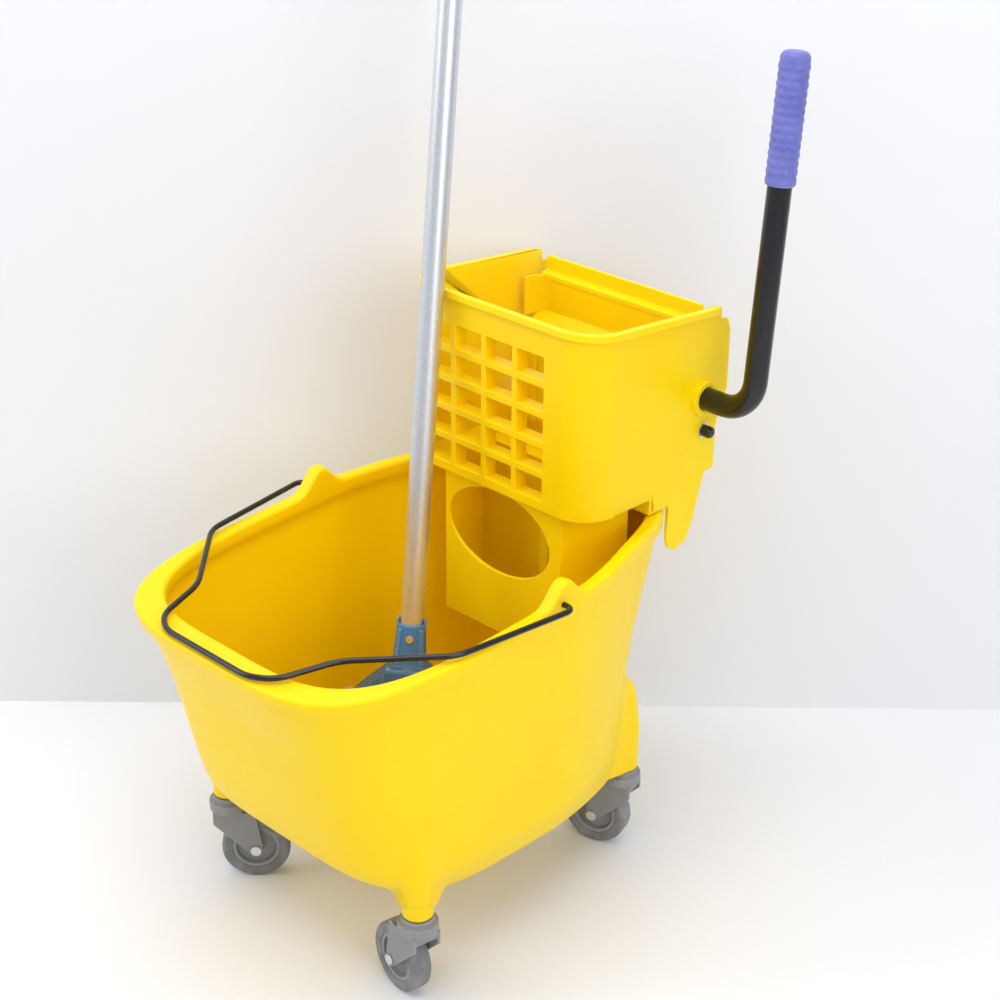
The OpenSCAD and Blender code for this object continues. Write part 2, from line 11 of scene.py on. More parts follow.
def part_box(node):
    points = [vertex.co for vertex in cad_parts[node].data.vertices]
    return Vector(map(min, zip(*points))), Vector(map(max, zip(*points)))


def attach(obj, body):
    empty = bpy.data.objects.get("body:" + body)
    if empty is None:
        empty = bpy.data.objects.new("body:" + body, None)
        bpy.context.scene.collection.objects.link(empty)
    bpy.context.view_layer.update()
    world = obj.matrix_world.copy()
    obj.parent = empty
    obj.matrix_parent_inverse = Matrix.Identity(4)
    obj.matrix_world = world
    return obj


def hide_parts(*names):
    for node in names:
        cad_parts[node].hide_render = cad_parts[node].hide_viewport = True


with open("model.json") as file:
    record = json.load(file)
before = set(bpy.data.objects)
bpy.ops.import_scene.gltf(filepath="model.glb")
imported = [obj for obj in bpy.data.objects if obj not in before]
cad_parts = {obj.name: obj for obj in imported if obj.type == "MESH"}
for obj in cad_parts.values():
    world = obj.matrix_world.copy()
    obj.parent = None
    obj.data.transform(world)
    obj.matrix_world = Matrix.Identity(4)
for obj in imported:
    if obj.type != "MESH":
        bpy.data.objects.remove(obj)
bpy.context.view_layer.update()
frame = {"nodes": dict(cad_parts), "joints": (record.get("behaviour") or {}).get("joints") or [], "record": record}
NODES = frame["nodes"]
CASTERS = ("fl", "fr", "rl", "rr")


# ---------------------------------------------------------------- camera

CAMERA_AT = Vector((1.3562, -1.3000, 1.3499))
CAMERA_TURN = math.radians(44.6)
CAMERA_DROP = math.radians(25.7)
CAMERA_ROLL = math.radians(0.5)
CAMERA_LENS = 72.94


def add_camera():
    """A camera that looks forward and to the left, down over the bucket's front right corner."""
    turn, drop, roll = CAMERA_TURN, CAMERA_DROP, CAMERA_ROLL
    forward = Vector((-math.sin(turn) * math.cos(drop), math.cos(turn) * math.cos(drop), -math.sin(drop)))
    level = Vector((math.cos(turn), math.sin(turn), 0.0))
    upright = level.cross(forward)
    right = math.cos(roll) * level + math.sin(roll) * upright
    up = -math.sin(roll) * level + math.cos(roll) * upright
    data = bpy.data.cameras.new("camera")
    data.lens = CAMERA_LENS
    data.sensor_width = 36.0
    camera = bpy.data.objects.new("camera", data)
    bpy.context.scene.collection.objects.link(camera)
    turned = Matrix((right, up, -forward)).transposed().to_4x4()
    camera.matrix_world = Matrix.Translation(CAMERA_AT) @ turned
    bpy.context.scene.camera = camera


# ---------------------------------------------------------------- materials

class Shader:
    """A Principled material whose colour, roughness and bump come from procedural nodes."""

    def __init__(self, name, roughness, **sockets):
        self.material = bpy.data.materials.new(name)
        self.material.use_nodes = True
        self.tree = self.material.node_tree
        self.bsdf = self.tree.nodes["Principled BSDF"]
        self.bsdf.inputs["Roughness"].default_value = roughness
        for socket, value in sockets.items():
            self.bsdf.inputs[socket.replace("_", " ")].default_value = value
        self.place = self.tree.nodes.new("ShaderNodeTexCoord").outputs["Object"]
        self.height = None

    def node(self, kind, **values):
        made = self.tree.nodes.new(kind)
        for key, value in values.items():
            setattr(made, key, value)
        return made

    def link(self, source, target):
        self.tree.links.new(source, target)

    def stretched(self, scale):
        mapping = self.node("ShaderNodeMapping")
        mapping.inputs["Scale"].default_value = scale
        self.link(self.place, mapping.inputs["Vector"])
        return mapping.outputs["Vector"]

    def noise(self, scale, detail, place=None):
        made = self.node("ShaderNodeTexNoise")
        made.inputs["Scale"].default_value = scale
        made.inputs["Detail"].default_value = detail
        made.inputs["Roughness"].default_value = 0.5
        self.link(place or self.place, made.inputs["Vector"])
        return made.outputs["Fac"]

    def remap(self, value, low, high, to_low, to_high):
        made = self.node("ShaderNodeMapRange")
        for socket, number in zip(("From Min", "From Max", "To Min", "To Max"), (low, high, to_low, to_high)):
            made.inputs[socket].default_value = number
        self.link(value, made.inputs["Value"])
        return made.outputs["Result"]

    def mix(self, share, first, second):
        made = self.node("ShaderNodeMix", data_type="RGBA")
        self.link(share, made.inputs["Factor"])
        for socket, colour in ((6, first), (7, second)):
            if isinstance(colour, tuple):
                made.inputs[socket].default_value = (*colour, 1.0)
            else:
                self.link(colour, made.inputs[socket])
        return made.outputs[2]

    def colour(self, value):
        self.link(value, self.bsdf.inputs["Base Color"])

    def rough(self, value):
        self.link(value, self.bsdf.inputs["Roughness"])

    def bump(self, value, strength, distance):
        made = self.node("ShaderNodeBump")
        made.inputs["Strength"].default_value = strength
        made.inputs["Distance"].default_value = distance
        self.link(value, made.inputs["Height"])
        if self.height is not None:
            self.link(self.height, made.inputs["Normal"])
        self.height = made.outputs["Normal"]
        self.link(self.height, self.bsdf.inputs["Normal"])

    def edges(self, low, high):
        """1 along worn outer edges and 0 on flat faces."""
        point = self.node("ShaderNodeNewGeometry").outputs["Pointiness"]
        return self.remap(point, low, high, 0.0, 1.0)


def moulded_plastic(name, base, deep, pale, roughness, grain=900.0, **sockets):
    """Moulded plastic: slow colour drift, paler rubbed edges, fine spark-eroded grain and faint scuffs."""
    made = Shader(name, roughness, **sockets)
    drift = made.remap(made.noise(5.0, 2.0), 0.35, 0.65, 0.0, 1.0)
    body = made.mix(drift, base, deep)
    made.colour(made.mix(made.edges(0.52, 0.60), body, pale))
    scuffs = made.noise(140.0, 4.0, made.stretched((1.0, 1.0, 0.12)))
    made.rough(made.remap(scuffs, 0.3, 0.75, roughness - 0.05, roughness + 0.12))
    made.bump(made.noise(grain, 2.0), 0.10, 0.0004)
    made.bump(made.noise(14.0, 2.0), 0.12, 0.004)
    return made.material


def plated_steel(name):
    """Zinc plate: bright, faintly mottled, with fine turning marks."""
    made = Shader(name, 0.3, Metallic=1.0)
    spangle = made.remap(made.noise(260.0, 3.0), 0.35, 0.65, 0.0, 1.0)
    made.colour(made.mix(spangle, (0.68, 0.69, 0.72), (0.80, 0.80, 0.80)))
    made.rough(made.remap(made.noise(420.0, 3.0), 0.3, 0.7, 0.22, 0.42))
    made.bump(made.noise(1500.0, 2.0), 0.15, 0.0002)
    return made.material


def black_coat():
    """Gloss black powder coat with a slight orange peel and dust-fine specks."""
    made = Shader("black_steel", 0.2, Specular_IOR_Level=0.4, Coat_Weight=0.25, Coat_Roughness=0.08)
    specks = made.remap(made.noise(1200.0, 2.0), 0.62, 0.75, 0.0, 1.0)
    made.colour(made.mix(specks, (0.006, 0.006, 0.007), (0.03, 0.03, 0.03)))
    made.rough(made.remap(made.noise(90.0, 3.0), 0.3, 0.7, 0.14, 0.30))
    made.bump(made.noise(320.0, 2.0), 0.10, 0.0004)
    return made.material


def tyre_rubber():
    """Grey soft rubber with a dusty tread and fine streaks round it."""
    made = Shader("tyre_rubber", 0.55)
    dust = made.remap(made.noise(60.0, 5.0), 0.4, 0.7, 0.0, 1.0)
    made.colour(made.mix(dust, (0.175, 0.175, 0.185), (0.26, 0.26, 0.265)))
    made.rough(made.remap(made.noise(200.0, 4.0), 0.3, 0.7, 0.45, 0.7))
    made.bump(made.noise(700.0, 3.0), 0.2, 0.0004)
    return made.material


def grip_plastic():
    """Soft violet-blue vinyl grip with a matt skin."""
    made = Shader("grip_plastic", 0.5, Sheen_Weight=0.15)
    drift = made.remap(made.noise(40.0, 3.0), 0.35, 0.65, 0.0, 1.0)
    body = made.mix(drift, (0.115, 0.125, 0.44), (0.15, 0.16, 0.50))
    made.colour(made.mix(made.edges(0.52, 0.62), body, (0.25, 0.27, 0.62)))
    made.rough(made.remap(made.noise(300.0, 3.0), 0.3, 0.7, 0.42, 0.62))
    made.bump(made.noise(1500.0, 2.0), 0.25, 0.0003)
    return made.material


def pole_aluminium():
    """Drawn aluminium: long fine lines along the pole under a clear anodised coat."""
    made = Shader("pole_aluminium", 0.38, Metallic=0.9)
    lines = made.noise(60.0, 4.0, made.stretched((26.0, 26.0, 0.5)))
    made.colour(made.mix(made.remap(lines, 0.3, 0.7, 0.0, 1.0), (0.60, 0.62, 0.65), (0.76, 0.78, 0.81)))
    made.rough(made.remap(made.noise(90.0, 3.0, made.stretched((10.0, 10.0, 0.6))), 0.3, 0.7, 0.30, 0.48))
    made.bump(lines, 0.08, 0.0002)
    return made.material


def cotton(name, pale, deep, twist):
    """Cotton: fuzzy, with the ply of the yarn as a fine slanting ridge."""
    made = Shader(name, 0.9, Sheen_Weight=0.35, Sheen_Roughness=0.5)
    patches = made.remap(made.noise(30.0, 4.0), 0.3, 0.7, 0.0, 1.0)
    fibre = made.remap(made.noise(900.0, 3.0), 0.35, 0.65, 0.0, 1.0)
    made.colour(made.mix(fibre, made.mix(patches, pale, deep), pale))
    wave = made.node("ShaderNodeTexWave", bands_direction="DIAGONAL")
    wave.inputs["Scale"].default_value = twist
    wave.inputs["Distortion"].default_value = 1.5
    made.link(made.place, wave.inputs["Vector"])
    made.bump(wave.outputs["Fac"], 0.7, 0.0012)
    made.bump(made.noise(1400.0, 3.0), 0.4, 0.0005)
    return made.material


YELLOW = moulded_plastic("yellow_plastic", (0.99, 0.675, 0.0), (0.98, 0.645, 0.0), (1.0, 0.74, 0.01), 0.36,
                         Specular_IOR_Level=0.22, Subsurface_Weight=0.3, Subsurface_Scale=0.012,
                         Subsurface_Radius=(1.0, 0.55, 0.05))
GREY = moulded_plastic("caster_plastic", (0.27, 0.27, 0.275), (0.24, 0.24, 0.245), (0.36, 0.36, 0.365), 0.42)
GEAR = moulded_plastic("gear_plastic", (0.022, 0.022, 0.023), (0.016, 0.016, 0.017), (0.06, 0.06, 0.06), 0.45)
SOCKET = moulded_plastic("blue_plastic", (0.055, 0.185, 0.40), (0.045, 0.16, 0.36), (0.13, 0.30, 0.55), 0.36)
CLAMP = moulded_plastic("clamp_plastic", (0.04, 0.105, 0.17), (0.032, 0.09, 0.15), (0.10, 0.19, 0.27), 0.42)
STEEL = plated_steel("zinc_steel")
BLACK = black_coat()
TYRE = tyre_rubber()
GRIP = grip_plastic()
ALUMINIUM = pole_aluminium()
TAPE = cotton("headband_tape", (0.62, 0.44, 0.27), (0.50, 0.34, 0.19), 300.0)
YARN = cotton("cotton_yarn", (0.66, 0.43, 0.25), (0.52, 0.31, 0.16), 420.0)
FINISH = {
    "yellow_plastic": YELLOW, "caster_plastic": GREY, "gear_plastic": GEAR, "blue_plastic": SOCKET,
    "clamp_plastic": CLAMP, "zinc_steel": STEEL, "black_steel": BLACK, "tyre_rubber": TYRE,
    "grip_plastic": GRIP, "pole_aluminium": ALUMINIUM, "headband_tape": TAPE, "cotton_yarn": YARN}
SLOT_OF = {part["node"]: part["material_slot"] for part in frame["record"]["subparts"]}
BODY_OF = {node: body for body, nodes in frame["record"]["behaviour"]["bodies"].items() for node in nodes}


# ---------------------------------------------------------------- mesh helpers

def finish_mesh(bm, name, material, body, nodes=(), sharp=35.0):
    """Turns a bmesh into a smooth-shaded piece that rides on a body and stands for the given nodes."""
    bmesh.ops.recalc_face_normals(bm, faces=bm.faces)
    mesh = bpy.data.meshes.new(name)
    bm.to_mesh(mesh)
    bm.free()
    mesh.shade_smooth()
    mesh.set_sharp_from_angle(angle=math.radians(sharp))
    mesh.materials.append(material)
    piece = bpy.data.objects.new(name, mesh)
    bpy.context.scene.collection.objects.link(piece)
    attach(piece, body)
    if nodes:
        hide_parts(*nodes)
    return piece


def stand_in_for(bm, node, sharp=35.0):
    """A piece that takes one CAD node's place, with that node's body and finish."""
    slot = SLOT_OF[node]
    return finish_mesh(bm, f"{node}_look", FINISH[slot], BODY_OF[node], (node,), sharp)


SAME_POINT = 2e-6
SAME_PLANE = math.radians(0.7)


def soften(bm, width, segments=2, sharp=28.0):
    """Joins flat facets and rounds every sharp edge of a closed mesh."""
    bmesh.ops.remove_doubles(bm, verts=bm.verts, dist=SAME_POINT)
    bmesh.ops.dissolve_limit(bm, angle_limit=SAME_PLANE, verts=bm.verts, edges=bm.edges)
    bmesh.ops.triangulate(bm, faces=[face for face in bm.faces if len(face.verts) > 4])
    limit = math.radians(sharp)
    edges = [e for e in bm.edges if len(e.link_faces) == 2 and e.calc_face_angle(0.0) > limit]
    bmesh.ops.bevel(bm, geom=edges, offset=width, offset_type="OFFSET", segments=segments, profile=0.5,
                    affect="EDGES", clamp_overlap=False)


def rounded_node(node, width, segments=2):
    """The CAD node's own shape with its edges rounded, as its moulding has them."""
    bm = bmesh.new()
    bm.from_mesh(NODES[node].data)
    bm.transform(NODES[node].matrix_world)
    soften(bm, width, segments)
    flatten_faces(stand_in_for(bm, node, 20.0))


def flatten_faces(piece):
    """Keeps large faces flat in the shading, so that only the rounded edges turn."""
    weighted = piece.modifiers.new("flat_faces", "WEIGHTED_NORMAL")
    weighted.keep_sharp = True
    weighted.weight = 60


def moulded_piece(bm, name, material, body, width, segments=2, sharp=40.0):
    """An added piece with rounded edges and flat faces."""
    soften(bm, width, segments)
    flatten_faces(finish_mesh(bm, name, material, body, sharp=sharp))


def grid_faces(bm, rows, closed_rows=False):
    """Quads between closed rows of vertices."""
    count = len(rows)
    width = len(rows[0])
    for i in range(count if closed_rows else count - 1):
        for j in range(width):
            a, b = rows[i], rows[(i + 1) % count]
            k = (j + 1) % width
            bm.faces.new((a[j], a[k], b[k], b[j]))


def cap(bm, row, centre):
    """Closes a row of vertices with a fan about a point."""
    middle = bm.verts.new(centre)
    for j in range(len(row)):
        bm.faces.new((row[j], row[(j + 1) % len(row)], middle))


def revolve(bm, profile, matrix=Matrix(), steps=96, closed=False, wave=None):
    """Turns (radius, height) points about the matrix's Z axis.

    wave(radius, angle, height) may reshape the radius.
    """
    rows = []
    for radius, height in profile:
        row = []
        for k in range(steps):
            angle = math.tau * k / steps
            r = wave(radius, angle, height) if wave else radius
            row.append(bm.verts.new(matrix @ Vector((r * math.cos(angle), r * math.sin(angle), height))))
        rows.append(row)
    grid_faces(bm, rows, closed_rows=closed)
    if not closed:
        for row, height in ((rows[0], profile[0][1]), (rows[-1], profile[-1][1])):
            cap(bm, row, matrix @ Vector((0.0, 0.0, height)))


def tube(bm, path, radius, sides):
    """A round tube swept along points, with its frame carried along without twist."""
    rows = []
    side = None
    for i, point in enumerate(path):
        ahead = (path[min(i + 1, len(path) - 1)] - path[max(i - 1, 0)]).normalized()
        if side is None:
            side = ahead.orthogonal().normalized()
        side = (side - ahead * side.dot(ahead)).normalized()
        up = ahead.cross(side)
        turns = [math.tau * k / sides for k in range(sides)]
        rows.append([bm.verts.new(point + radius * (math.cos(t) * side + math.sin(t) * up)) for t in turns])
    grid_faces(bm, rows)
    cap(bm, rows[0], path[0])
    cap(bm, rows[-1], path[-1])


def extrude(bm, outline, depth, matrix=Matrix()):
    """A closed prism from a flat outline, from z = 0 to depth in the matrix's frame."""
    rows = [[bm.verts.new(matrix @ Vector((x, y, z))) for x, y in outline] for z in (0.0, depth)]
    grid_faces(bm, rows)
    bm.faces.new(reversed(rows[0]))
    bm.faces.new(rows[1])


def closed_stack(bm, rows):
    """A closed solid through rows of vertices, with a flat face at each end."""
    grid_faces(bm, rows)
    bm.faces.new(rows[0])
    bm.faces.new(rows[-1])


def section_at(x):
    """Frame in which a section drawn in Y and Z is extruded towards +X from the given X."""
    return Matrix(((0, 0, 1, x), (1, 0, 0, 0), (0, 1, 0, 0), (0, 0, 0, 1)))


def box(bm, low, high, matrix=Matrix()):
    """A box between two corners in the matrix's frame."""
    extrude(bm, [(low[0], low[1]), (high[0], low[1]), (high[0], high[1]), (low[0], high[1])],
            high[2] - low[2], matrix @ Matrix.Translation((0.0, 0.0, low[2])))


def rounded_path(points, radius, steps):
    """The points joined by straight runs with arcs of about the given radius at the corners."""
    path = [points[0]]
    for before, corner, after in zip(points, points[1:], points[2:]):
        reach = min(radius, 0.45 * (corner - before).length, 0.45 * (after - corner).length)
        start = corner + (before - corner).normalized() * reach
        end = corner + (after - corner).normalized() * reach
        for k in range(steps + 1):
            t = k / steps
            path.append((1 - t) ** 2 * start + 2 * t * (1 - t) * corner + t * t * end)
    path.append(points[-1])
    return path


def spline(keys, steps):
    """A Catmull-Rom curve through the key points."""
    points = []
    for i in range(len(keys) - 1):
        p0, p1, p2, p3 = keys[max(i - 1, 0)], keys[i], keys[i + 1], keys[min(i + 2, len(keys) - 1)]
        for k in range(steps):
            t = k / steps
            points.append(0.5 * (2 * p1 + (p2 - p0) * t + (2 * p0 - 5 * p1 + 4 * p2 - p3) * t * t
                                 + (3 * p1 - p0 - 3 * p2 + p3) * t ** 3))
    points.append(keys[-1])
    return points


def smoothstep(low, high, value):
    """0 up to low, 1 from high, and an S curve between them."""
    u = min(max((value - low) / (high - low), 0.0), 1.0)
    return u * u * (3.0 - 2.0 * u)


def blend(first, second, share):
    """The value at a share of the way from the first to the second."""
    return first * (1.0 - share) + second * share


# ---------------------------------------------------------------- bucket

BOTTOM_Z = 0.105
RIM_FRONT_Z = 0.388
RIM_REAR_Z = 0.415
FRONT_REACH = 0.316
WALL = 0.004
LIP_OUT = 0.006
LIP_IN = 0.010
FRONT_LIP_IN = 0.026
FOOT_R = 0.007
BUCKET_MIDDLE = (0.0, -0.040)
# height, front wall, side half width, rear half width, rear wall
STATIONS = (
    (0.105, -0.179, 0.149, 0.126, 0.174), (0.125, -0.212, 0.160, 0.128, 0.173),
    (0.150, -0.240, 0.169, 0.131, 0.173), (0.180, -0.252, 0.171, 0.134, 0.174),
    (0.240, -0.268, 0.174, 0.137, 0.180), (0.300, -0.284, 0.179, 0.143, 0.194),
    (0.368, -0.310, 0.183, 0.148, 0.211), (0.388, -0.316, 0.184, 0.148, 0.212))
LEGS = ((-0.151, -0.189), (0.151, -0.189), (-0.114, 0.157), (0.114, 0.157))
LEG_R = 0.016
LEG_Z = 0.104
EAR_Y = -0.028
EAR_Z = 0.408
EAR_MIDDLE = -0.022
EAR_RISE = 0.024
EAR_SPREAD = 0.0185


def station(z, k):
    """A smooth curve through the stations' values, flat-ended where the values turn."""
    rows = STATIONS
    z = min(max(z, rows[0][0]), rows[-1][0])
    i = max(j for j in range(len(rows) - 1) if rows[j][0] <= z)

    def slope(j):
        before = (rows[j][k] - rows[j - 1][k]) / (rows[j][0] - rows[j - 1][0]) if j > 0 else None
        after = (rows[j + 1][k] - rows[j][k]) / (rows[j + 1][0] - rows[j][0]) if j < len(rows) - 1 else None
        if before is None or after is None:
            return after if before is None else before
        return 0.0 if before * after <= 0.0 else 2.0 * before * after / (before + after)

    step = rows[i + 1][0] - rows[i][0]
    t = (z - rows[i][0]) / step
    first, second = rows[i][k], rows[i + 1][k]
    return (first * (1 + 2 * t) * (1 - t) ** 2 + second * t * t * (3 - 2 * t)
            + step * (slope(i) * t * (1 - t) ** 2 - slope(i + 1) * t * t * (1 - t)))


def rim_z(y):
    """Height of the rim, which rises from the front and is level at the rear."""
    return min(RIM_REAR_Z, blend(RIM_FRONT_Z, RIM_REAR_Z, (y + FRONT_REACH) / (FRONT_REACH + 0.100)))


def bucket_point(angle, z, inset, front_inset):
    """A point of the bucket's surface at a nominal height, drawn in from the wall."""
    front = math.cos(angle) < 0
    power = 2.0 / blend(0.4, 0.5, (z - BOTTOM_Z) / (RIM_FRONT_Z - BOTTOM_Z)) if front else 5.0
    u, v = math.sin(angle), math.cos(angle)
    reach = (abs(u) ** power + abs(v) ** power) ** (-1.0 / power)
    y_front = station(z, 1) + front_inset
    y_rear = station(z, 4) - inset
    y = (y_front + y_rear) / 2 + (y_rear - y_front) / 2 * v * reach
    half = blend(station(z, 2), station(z, 3), smoothstep(-0.010, 0.190, y)) - inset
    lift = (rim_z(y) - BOTTOM_Z) / (RIM_FRONT_Z - BOTTOM_Z)
    return Vector((half * u * reach, y, BOTTOM_Z + (z - BOTTOM_Z) * lift))


def arc_points(centre, radius, start, end, steps):
    """(first, second) coordinates along an arc between two angles in degrees."""
    angles = [math.radians(blend(start, end, k / steps)) for k in range(steps + 1)]
    return [(centre[0] + radius * math.cos(a), centre[1] + radius * math.sin(a)) for a in angles]


def swell_to_leg(point):
    """Moves a wall point outwards so that the wall flows round a leg post standing in it."""
    for x, y in LEGS:
        front = y < 0
        top = 0.215 if front else 0.235
        fade = 1.0 - smoothstep(0.150, top, point.z)
        if fade <= 0.0:
            continue
        outward = Vector((point.x - BUCKET_MIDDLE[0], point.y - BUCKET_MIDDLE[1], 0.0)).normalized()
        post = Vector((x, y, 0.0)) - Vector((point.x, point.y, 0.0))
        along = post.dot(outward)
        across = (post - along * outward).length
        radius = LEG_R * (0.35 + 0.65 * fade)
        if across < radius + 0.02:
            bulge = math.sqrt(max(radius ** 2 - across ** 2, 0.0)) if across < radius else -(across - radius)
            stand = along + bulge
            soft = 0.012
            lift = 0.5 * (stand + math.sqrt(stand * stand + soft * soft)) if stand > -0.05 else 0.0
            edge = 1.0 - smoothstep(radius, radius + 0.02, across)
            point += outward * min(lift, 0.03) * edge * smoothstep(0.0, 0.3, fade)
    return point


def ear_rise(y, z):
    """How far the lip's top stands up into the two bell-shaped ears that hold the bail."""
    share = smoothstep(RIM_FRONT_Z - 0.012, RIM_FRONT_Z - 0.003, z)
    return EAR_RISE * share * math.exp(-(abs(y - EAR_MIDDLE) / EAR_SPREAD) ** 2.3)


def build_bucket():
    """The tub: outer wall, rolled lip, inner wall and floor as one closed skin."""
    around = 480
    under = RIM_FRONT_Z - 0.018
    profile = [(BOTTOM_Z, 0.10), (BOTTOM_Z, 0.05), (BOTTOM_Z, 0.02)]
    profile += [(BOTTOM_Z + FOOT_R + dz, FOOT_R + dx)
                for dx, dz in arc_points((0.0, 0.0), FOOT_R, 270, 180, 6)]
    steps = 48
    low = BOTTOM_Z + 0.009
    profile += [(blend(low, under - 0.003, k / steps), 0.0) for k in range(steps + 1)]
    profile += [(under, -0.0006), (under + 0.0008, -0.002), (under + 0.001, -0.0045)]
    profile += [(under + 0.0022, -0.0058), (under + 0.004, -LIP_OUT)]
    profile += [(RIM_FRONT_Z - 0.005 + dz, -0.001 - dx) for dx, dz in arc_points((0.0, 0.0), 0.005, 0, 90, 6)]
    outer = [(z, inset, inset) for z, inset in profile]
    lip = []
    for k in range(1, 7):
        t = k / 7
        lip.append((RIM_FRONT_Z - 0.0006 * t, blend(-0.001, 0.006, t), blend(-0.001, 0.021, t)))
    lip += [(RIM_FRONT_Z - 0.0046 + dz, 0.006 + dx, 0.022 + dx)
            for dx, dz in arc_points((0.0, 0.0), 0.004, 90, 0, 5)]
    lip += [(RIM_FRONT_Z - 0.012, LIP_IN, FRONT_LIP_IN), (RIM_FRONT_Z - 0.0145, 0.0095, 0.0245)]
    lip += [(RIM_FRONT_Z - 0.018, 0.0075, 0.017), (RIM_FRONT_Z - 0.022, 0.0055, 0.009)]
    inner = [(blend(RIM_FRONT_Z - 0.026, BOTTOM_Z + 0.013, k / 40), WALL, WALL) for k in range(41)]
    inner += [(BOTTOM_Z + WALL + FOOT_R + dz, 0.011 + dx, 0.011 + dx)
              for dx, dz in arc_points((0.0, 0.0), FOOT_R, 190, 270, 5)]
    inner += [(BOTTOM_Z + WALL, 0.03, 0.03), (BOTTOM_Z + WALL, 0.06, 0.06), (BOTTOM_Z + WALL, 0.10, 0.10)]
    bm = bmesh.new()
    rows = []
    for index, (z, inset, front_inset) in enumerate(outer + lip + inner):
        row = []
        for k in range(around):
            point = bucket_point(math.tau * k / around, z, inset, front_inset)
            if index < len(outer) and inset <= 0.008:
                point = swell_to_leg(point)
            point.z += ear_rise(point.y, z)
            row.append(bm.verts.new(point))
        rows.append(row)
    grid_faces(bm, rows)
    cap(bm, rows[0], Vector((0.0, -0.02, BOTTOM_Z)))
    cap(bm, rows[-1], Vector((0.0, -0.02, BOTTOM_Z + WALL)))
    stand_in_for(bm, "bucket_shell", 50.0)


def build_legs():
    """The four round leg posts that take the casters' stems."""
    bm = bmesh.new()
    for x, y in LEGS:
        at = Matrix.Translation((x, y, 0.0))
        profile = [(0.0057, LEG_Z + 0.02), (0.0057, LEG_Z)]
        profile += [(0.0125 + dx, LEG_Z + 0.0035 + dz)
                    for dx, dz in arc_points((0.0, 0.0), 0.0035, 270, 360, 5)]
        profile += [(LEG_R, 0.130), (LEG_R, 0.150), (0.010, 0.158), (0.002, 0.160)]
        revolve(bm, profile, at, 64)
    finish_mesh(bm, "bucket_legs", YELLOW, "bucket")


# ---------------------------------------------------------------- bail and lever

def build_bail():
    """One bent wire with easy bends, its ends through the ears."""
    half = [(0.0, -0.317, 0.393), (0.062, -0.317, 0.393), (0.086, -0.302, 0.394), (0.106, -0.244, 0.398),
            (0.184, -0.166, 0.404), (0.204, EAR_Y, EAR_Z), (0.180, EAR_Y, EAR_Z)]
    right = [Vector(p) for p in half]
    left = [Vector((-x, y, z)) for x, y, z in reversed(half[1:])]
    bm = bmesh.new()
    tube(bm, rounded_path(left + right, 0.014, 8), 0.003, 16)
    stand_in_for(bm, "bail_wire", 60.0)


SHAFT = Vector((0.0, 0.242, 0.529))
LEVER_FRAME = Matrix.Translation(SHAFT) @ Matrix.Rotation(math.radians(-5.0), 4, "X")
LEVER_X = 0.197
LEVER_H = 0.372
TUBE_R = 0.0125


def build_lever():
    """One tube along the shaft's axis, round a bend and up to the grip."""
    bend = 0.036
    corner = [Vector((LEVER_X - bend + bend * math.sin(a), 0.0, bend - bend * math.cos(a)))
              for a in (math.radians(90 * k / 20) for k in range(21))]
    path = [Vector((-0.140, 0, 0)), Vector((0.05, 0, 0))] + corner + [Vector((LEVER_X, 0, LEVER_H - 0.006))]
    bm = bmesh.new()
    tube(bm, [LEVER_FRAME @ p for p in path], TUBE_R, 48)
    stand_in_for(bm, "lever_tube", 60.0)


def build_grip():
    """A dipped grip: a row of raised beads round it, a collar at the foot and a domed end."""
    foot = LEVER_H - 0.132
    profile = [(TUBE_R + 0.0002, foot + 0.002), (0.0135, foot)]
    profile += [(0.0149, foot + 0.0008), (0.0156, foot + 0.0025)]
    profile += [(0.0156, foot + 0.007), (0.0150, foot + 0.0085)]
    steps = 240
    low, high = foot + 0.010, LEVER_H - 0.010
    profile += [(0.0150, blend(low, high, k / steps)) for k in range(steps + 1)]
    profile += [(0.0080 + dx, LEVER_H - 0.0078 + dz) for dx, dz in arc_points((0.0, 0.0), 0.0070, 10, 90, 10)]
    profile += [(0.0001, LEVER_H - 0.0006)]
    pitch = 0.0085

    def ribs(radius, angle, height):
        if not low < height < high:
            return radius
        phase = (height - low) / pitch
        row = math.floor(phase)
        across = math.sin(math.pi * (phase - row)) ** 2
        column = 0.5 + 0.5 * math.cos(10 * angle + math.pi * (row % 2))
        return radius + 0.0008 * across * (0.35 + 0.65 * smoothstep(0.15, 0.6, column))

    bm = bmesh.new()
    at = LEVER_FRAME @ Matrix.Translation((LEVER_X, 0.0, 0.0))
    revolve(bm, profile, at, 120, wave=ribs)
    stand_in_for(bm, "lever_grip", 60.0)


# ---------------------------------------------------------------- wringer

def build_wringer():
    """The moulded chamber with rounded edges, a low lip along the rear of its shelf and sealed side seams."""
    rounded_node("wringer_body", 0.0009)
    bm = bmesh.new()
    box(bm, (-0.126, 0.231, 0.417), (0.126, 0.235, 0.446))
    for x in (-0.1305, 0.1275):
        box(bm, (x, 0.108, 0.436), (x + 0.003, 0.169, 0.447))
    moulded_piece(bm, "wringer_seams", YELLOW, "wringer", 0.0012)


# ---------------------------------------------------------------- press plate

PLATE_HALF = 0.112
PLATE_TOP_HALF = 0.117
PLATE_T = 0.0038
PLATE_RIB_PITCH = 0.030
SCOOP_FOOT_Z = 0.558
SCOOP_HEIGHT = 0.0445
SCOOP_CORNER_R = 0.020


